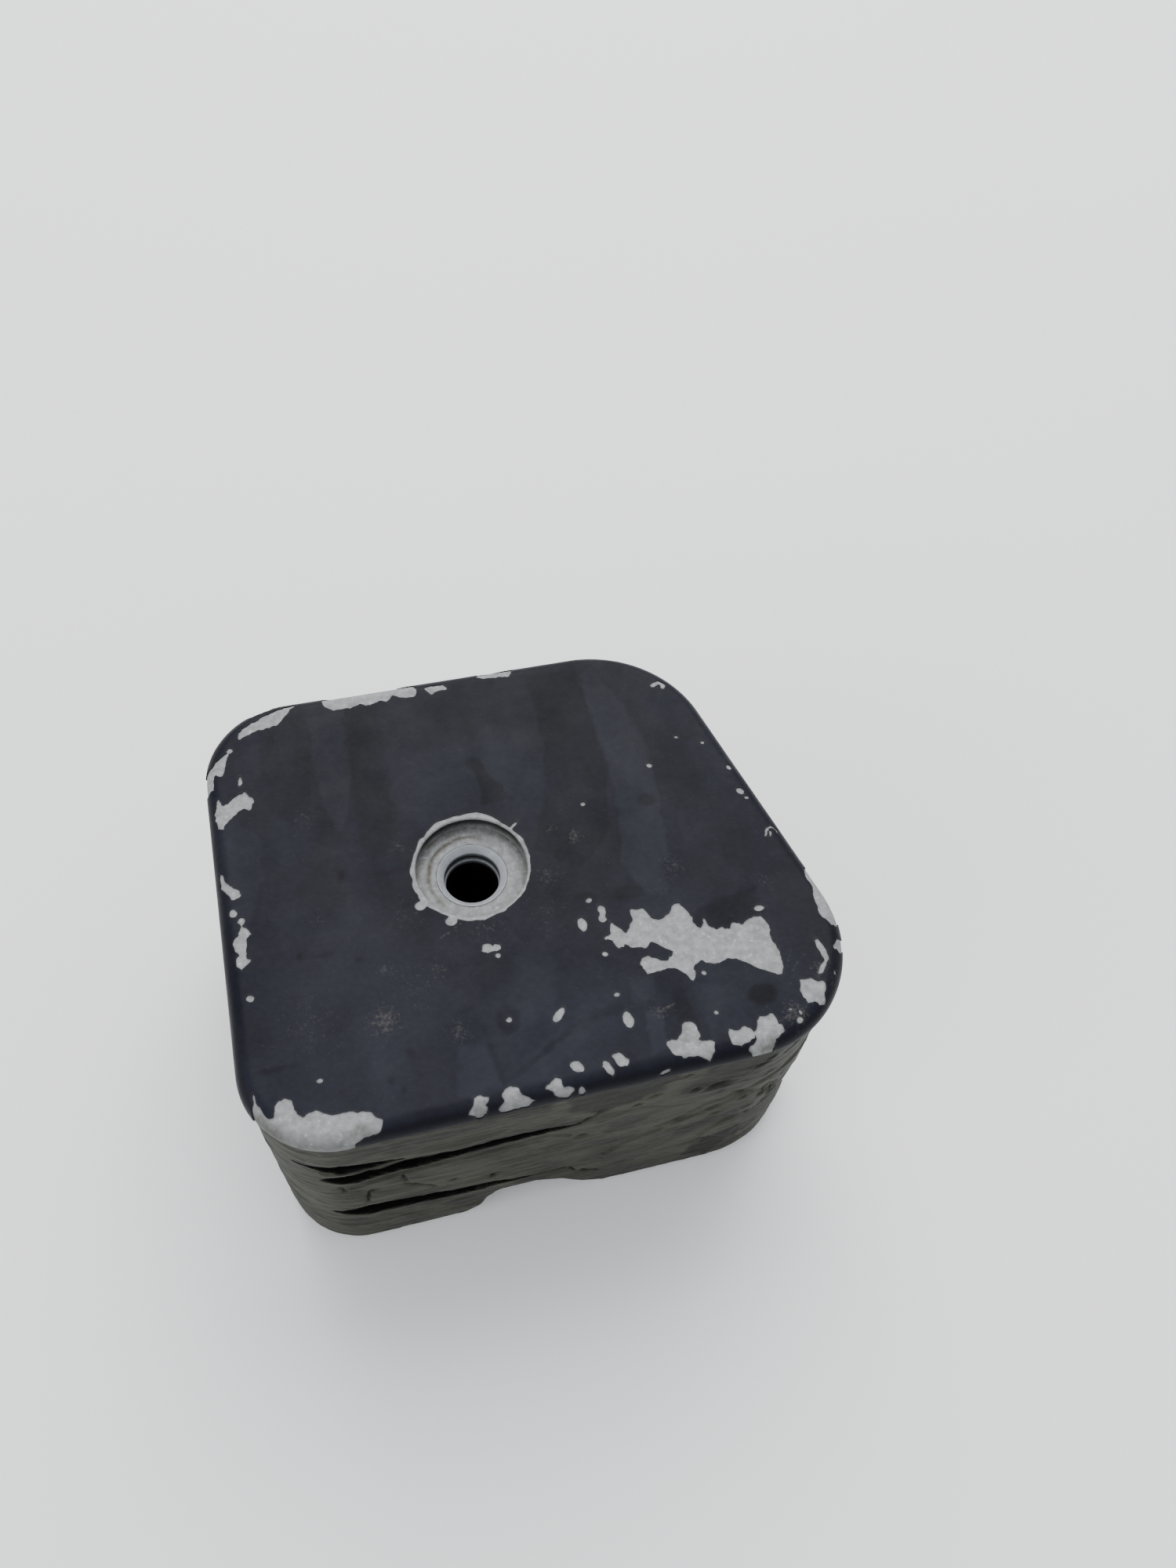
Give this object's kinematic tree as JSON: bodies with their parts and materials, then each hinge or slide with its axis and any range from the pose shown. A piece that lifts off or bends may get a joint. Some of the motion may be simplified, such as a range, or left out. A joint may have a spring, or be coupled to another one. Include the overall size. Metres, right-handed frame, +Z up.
{
  "type": "ballast weight",
  "caption": "Painted cast ballast block, a rounded right trapezoid in plan, with a counterbored bolt hole lined by a steel sleeve and a hollow in its front base edge.",
  "frame": {"origin": "the bolt hole's axis at the base plane", "axes": "+Z up along the bolt's axis towards the washer recess; -Y towards the long front side with the hollow in its base edge; +X towards the slanted side"},
  "size_m": [0.0996, 0.0824, 0.0588],
  "materials": {
    "paint": "satin",
    "casting": "matt, darkened",
    "steel": "brushed"
  },
  "bodies": {
    "root": {"face_coat": "paint", "face_pour": "casting", "middle_pour": "casting", "left_foot_pour": "casting", "right_foot_pour": "casting", "bolt_sleeve": "steel"}
  },
  "joints": []
}
